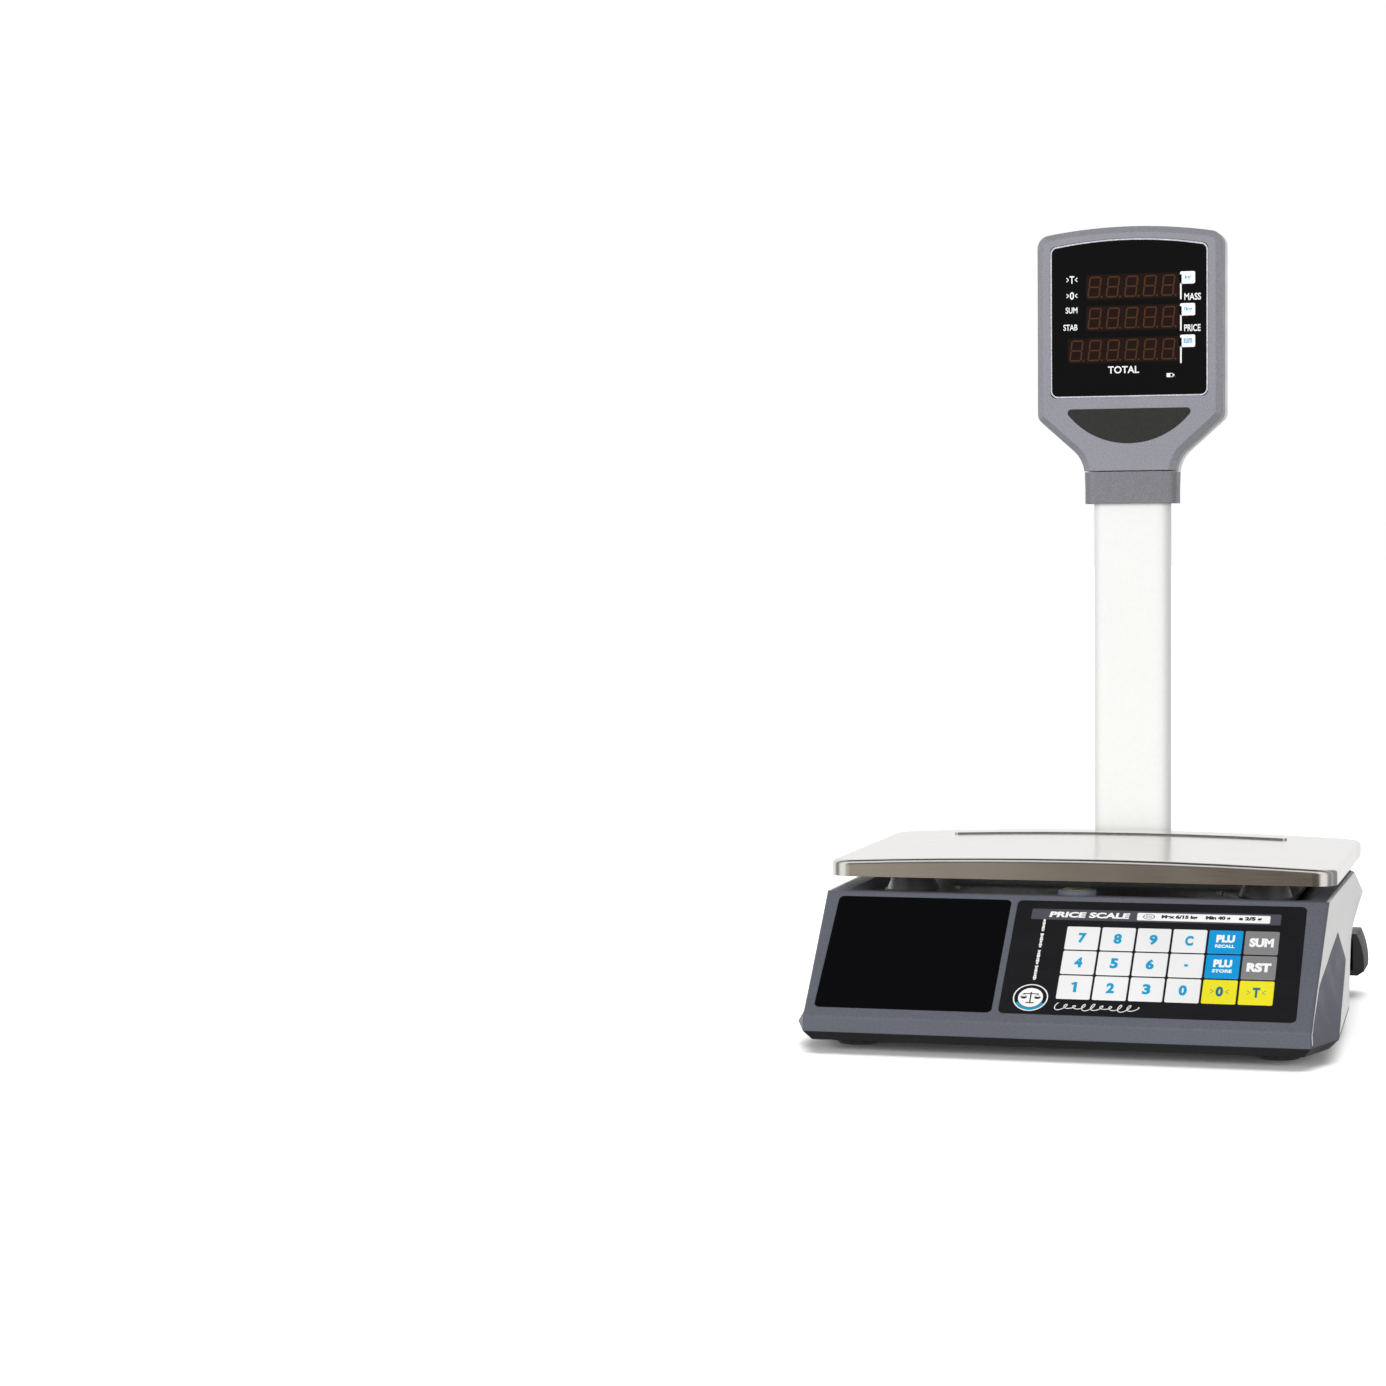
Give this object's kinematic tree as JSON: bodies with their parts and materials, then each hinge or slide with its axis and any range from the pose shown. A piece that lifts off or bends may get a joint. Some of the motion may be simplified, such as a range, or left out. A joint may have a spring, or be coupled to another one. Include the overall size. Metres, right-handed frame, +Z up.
{
  "type": "counter scale",
  "caption": "Price-computing counter scale with a steel pan, a sloping keypad panel and a customer display on a rear pole.",
  "frame": {"origin": "centre of the footprint on the surface the feet stand on", "axes": "+Z up, +Y from the keypad side towards the pole, +X to the operator's right"},
  "size_m": [0.333, 0.354, 0.528],
  "materials": {
    "slate_plastic": "fine-grained moulded ABS",
    "light_plastic": "satin moulded ABS",
    "black_plastic": "grained moulded ABS",
    "pan_steel": "bright rolled stainless sheet",
    "cast_aluminium": "die cast, unpainted",
    "zinc_steel": "zinc plated",
    "rubber": "matt",
    "smoked_window": "hard-coated dark acrylic",
    "overlay_film": "printed polyester film",
    "key_white": "printed polyester over a dome",
    "key_blue": "printed polyester over a dome",
    "key_grey": "printed polyester over a dome",
    "key_yellow": "printed polyester over a dome",
    "board_green": "solder mask",
    "battery_case": "moulded, satin",
    "pole_paint": "white powder coat",
    "accent_film": "fine-textured printed film",
    "vial_clear": "clear with tinted fluid",
    "brass_plating": "machined",
    "cable_black": "PVC jacket",
    "steel_insert": "nickel plated"
  },
  "bodies": {
    "chassis": {"assembly_screws": "zinc_steel", "base_tray": "black_plastic", "battery": "battery_case", "data_port": "steel_insert", "display_lead": "cable_black", "fixed_cell_screws": "zinc_steel", "keypad_backplate": "zinc_steel", "keypad_board": "board_green", "keypad_overlay": "overlay_film", "level_cup": "slate_plastic", "level_vial": "vial_clear", "load_cell": "cast_aluminium", "load_cell_plate": "cast_aluminium", "main_board": "board_green", "operator_display_board": "board_green", "operator_window": "smoked_window", "pole": "pole_paint", "pole_collar": "slate_plastic", "power_jack": "black_plastic", "rear_stabiliser": "black_plastic", "side_cover_left": "light_plastic", "side_cover_right": "light_plastic", "switch_frame": "black_plastic", "upper_casing": "slate_plastic"},
    "platform": {"pan_carrier": "cast_aluminium", "pan_pads": "rubber", "moving_cell_screws": "zinc_steel", "overload_stops": "zinc_steel"},
    "pan": {"weighing_pan": "pan_steel"},
    "head": {"head_front": "slate_plastic", "head_back": "light_plastic", "head_window": "smoked_window", "head_accent": "accent_film", "head_board": "board_green", "head_screws": "zinc_steel", "head_swivel": "brass_plating", "swivel_nut": "brass_plating"},
    "key_7_button": {"key_7": "key_white"},
    "key_8_button": {"key_8": "key_white"},
    "key_9_button": {"key_9": "key_white"},
    "key_clear_button": {"key_clear": "key_white"},
    "key_lookup_button": {"key_lookup": "key_blue"},
    "key_sum_button": {"key_sum": "key_grey"},
    "key_4_button": {"key_4": "key_white"},
    "key_5_button": {"key_5": "key_white"},
    "key_6_button": {"key_6": "key_white"},
    "key_point_button": {"key_point": "key_white"},
    "key_store_button": {"key_store": "key_blue"},
    "key_reset_button": {"key_reset": "key_grey"},
    "key_1_button": {"key_1": "key_white"},
    "key_2_button": {"key_2": "key_white"},
    "key_3_button": {"key_3": "key_white"},
    "key_0_button": {"key_0": "key_white"},
    "key_zero_button": {"key_zero": "key_yellow"},
    "key_tare_button": {"key_tare": "key_yellow"},
    "rocker": {"power_rocker": "black_plastic"},
    "foot_front_left_screw": {"foot_front_left": "rubber"},
    "foot_front_right_screw": {"foot_front_right": "rubber"},
    "foot_rear_left_screw": {"foot_rear_left": "rubber"},
    "foot_rear_right_screw": {"foot_rear_right": "rubber"}
  },
  "joints": [
    {"name": "load_cell_deflection", "type": "slide", "parent": "chassis", "child": "platform", "axis": [0, 0, 1], "range_m": [-0.0007, 0], "stiffness_N_per_m": 300000, "deforming": ["load_cell"]},
    {"name": "pan_lift_off", "type": "slide", "parent": "platform", "child": "pan", "axis": [0, 0, 1], "range_m": [0, 0.06]},
    {"name": "head_swivel", "type": "hinge", "parent": "chassis", "child": "head", "pos_m": [0, 0.159, 0.3593], "axis": [0, 0, 1], "range_deg": [-170, 170]},
    {"name": "power_switch", "type": "hinge", "parent": "chassis", "child": "rocker", "pos_m": [0.118, 0.1326, 0.064], "axis": [1, 0, 0], "range_deg": [-18, 0]},
    {"name": "key_7_press", "type": "slide", "parent": "chassis", "child": "key_7_button", "axis": [0, 0.6536, -0.7568], "range_m": [0, 0.0005], "stiffness_N_per_m": 800},
    {"name": "key_8_press", "type": "slide", "parent": "chassis", "child": "key_8_button", "axis": [0, 0.6536, -0.7568], "range_m": [0, 0.0005], "stiffness_N_per_m": 800},
    {"name": "key_9_press", "type": "slide", "parent": "chassis", "child": "key_9_button", "axis": [0, 0.6536, -0.7568], "range_m": [0, 0.0005], "stiffness_N_per_m": 800},
    {"name": "key_clear_press", "type": "slide", "parent": "chassis", "child": "key_clear_button", "axis": [0, 0.6536, -0.7568], "range_m": [0, 0.0005], "stiffness_N_per_m": 800},
    {"name": "key_lookup_press", "type": "slide", "parent": "chassis", "child": "key_lookup_button", "axis": [0, 0.6536, -0.7568], "range_m": [0, 0.0005], "stiffness_N_per_m": 800},
    {"name": "key_sum_press", "type": "slide", "parent": "chassis", "child": "key_sum_button", "axis": [0, 0.6536, -0.7568], "range_m": [0, 0.0005], "stiffness_N_per_m": 800},
    {"name": "key_4_press", "type": "slide", "parent": "chassis", "child": "key_4_button", "axis": [0, 0.6536, -0.7568], "range_m": [0, 0.0005], "stiffness_N_per_m": 800},
    {"name": "key_5_press", "type": "slide", "parent": "chassis", "child": "key_5_button", "axis": [0, 0.6536, -0.7568], "range_m": [0, 0.0005], "stiffness_N_per_m": 800},
    {"name": "key_6_press", "type": "slide", "parent": "chassis", "child": "key_6_button", "axis": [0, 0.6536, -0.7568], "range_m": [0, 0.0005], "stiffness_N_per_m": 800},
    {"name": "key_point_press", "type": "slide", "parent": "chassis", "child": "key_point_button", "axis": [0, 0.6536, -0.7568], "range_m": [0, 0.0005], "stiffness_N_per_m": 800},
    {"name": "key_store_press", "type": "slide", "parent": "chassis", "child": "key_store_button", "axis": [0, 0.6536, -0.7568], "range_m": [0, 0.0005], "stiffness_N_per_m": 800},
    {"name": "key_reset_press", "type": "slide", "parent": "chassis", "child": "key_reset_button", "axis": [0, 0.6536, -0.7568], "range_m": [0, 0.0005], "stiffness_N_per_m": 800},
    {"name": "key_1_press", "type": "slide", "parent": "chassis", "child": "key_1_button", "axis": [0, 0.6536, -0.7568], "range_m": [0, 0.0005], "stiffness_N_per_m": 800},
    {"name": "key_2_press", "type": "slide", "parent": "chassis", "child": "key_2_button", "axis": [0, 0.6536, -0.7568], "range_m": [0, 0.0005], "stiffness_N_per_m": 800},
    {"name": "key_3_press", "type": "slide", "parent": "chassis", "child": "key_3_button", "axis": [0, 0.6536, -0.7568], "range_m": [0, 0.0005], "stiffness_N_per_m": 800},
    {"name": "key_0_press", "type": "slide", "parent": "chassis", "child": "key_0_button", "axis": [0, 0.6536, -0.7568], "range_m": [0, 0.0005], "stiffness_N_per_m": 800},
    {"name": "key_zero_press", "type": "slide", "parent": "chassis", "child": "key_zero_button", "axis": [0, 0.6536, -0.7568], "range_m": [0, 0.0005], "stiffness_N_per_m": 800},
    {"name": "key_tare_press", "type": "slide", "parent": "chassis", "child": "key_tare_button", "axis": [0, 0.6536, -0.7568], "range_m": [0, 0.0005], "stiffness_N_per_m": 800},
    {"name": "foot_front_left_turn", "type": "hinge", "parent": "chassis", "child": "foot_front_left_screw", "pos_m": [-0.13, -0.128, 0], "axis": [0, 0, 1], "continuous": true},
    {"name": "foot_front_right_turn", "type": "hinge", "parent": "chassis", "child": "foot_front_right_screw", "pos_m": [0.13, -0.128, 0], "axis": [0, 0, 1], "continuous": true},
    {"name": "foot_rear_left_turn", "type": "hinge", "parent": "chassis", "child": "foot_rear_left_screw", "pos_m": [-0.13, 0.098, 0], "axis": [0, 0, 1], "continuous": true},
    {"name": "foot_rear_right_turn", "type": "hinge", "parent": "chassis", "child": "foot_rear_right_screw", "pos_m": [0.13, 0.098, 0], "axis": [0, 0, 1], "continuous": true}
  ]
}
